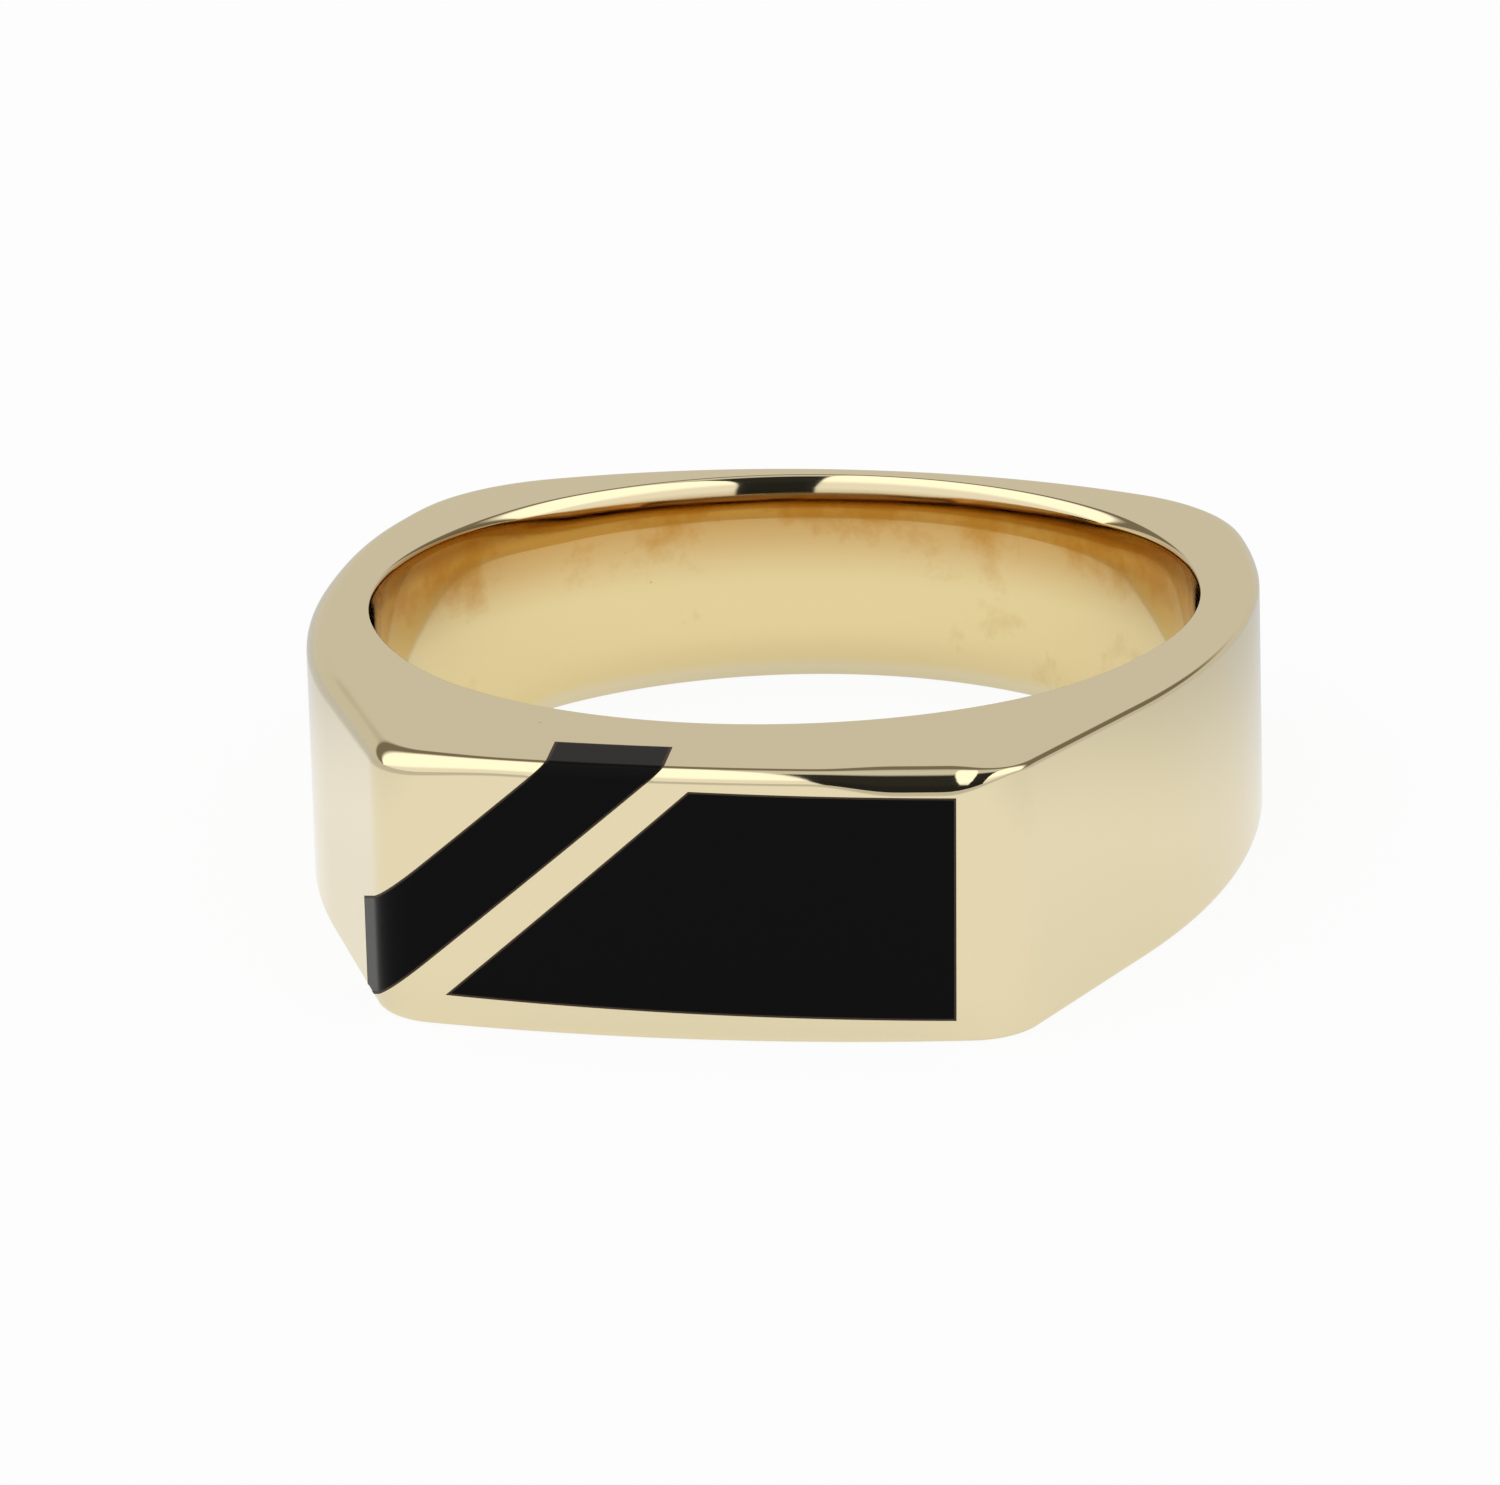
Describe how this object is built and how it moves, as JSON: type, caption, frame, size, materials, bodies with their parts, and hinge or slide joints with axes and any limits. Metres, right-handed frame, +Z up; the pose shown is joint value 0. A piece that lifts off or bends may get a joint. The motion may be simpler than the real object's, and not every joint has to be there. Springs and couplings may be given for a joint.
{
  "type": "signet ring",
  "caption": "Signet ring in polished yellow gold, with a low rectangular head, straight shoulders and flush black stones: a diagonal strip and a slant-sided slab.",
  "frame": {"origin": "centre of the finger hole, halfway between the two side faces", "axes": "+Z along the finger hole's axis, -Y out of the table with its stones, +X to the right when the table is looked at with +Z up"},
  "size_m": [0.0226, 0.0247, 0.0066],
  "materials": {
    "gold": "polished",
    "onyx": "polished",
    "cement": "satin"
  },
  "bodies": {
    "root": {"ring_body": "gold", "strip_stone": "onyx", "field_stone": "onyx", "strip_cement": "cement", "field_cement": "cement"}
  },
  "joints": []
}
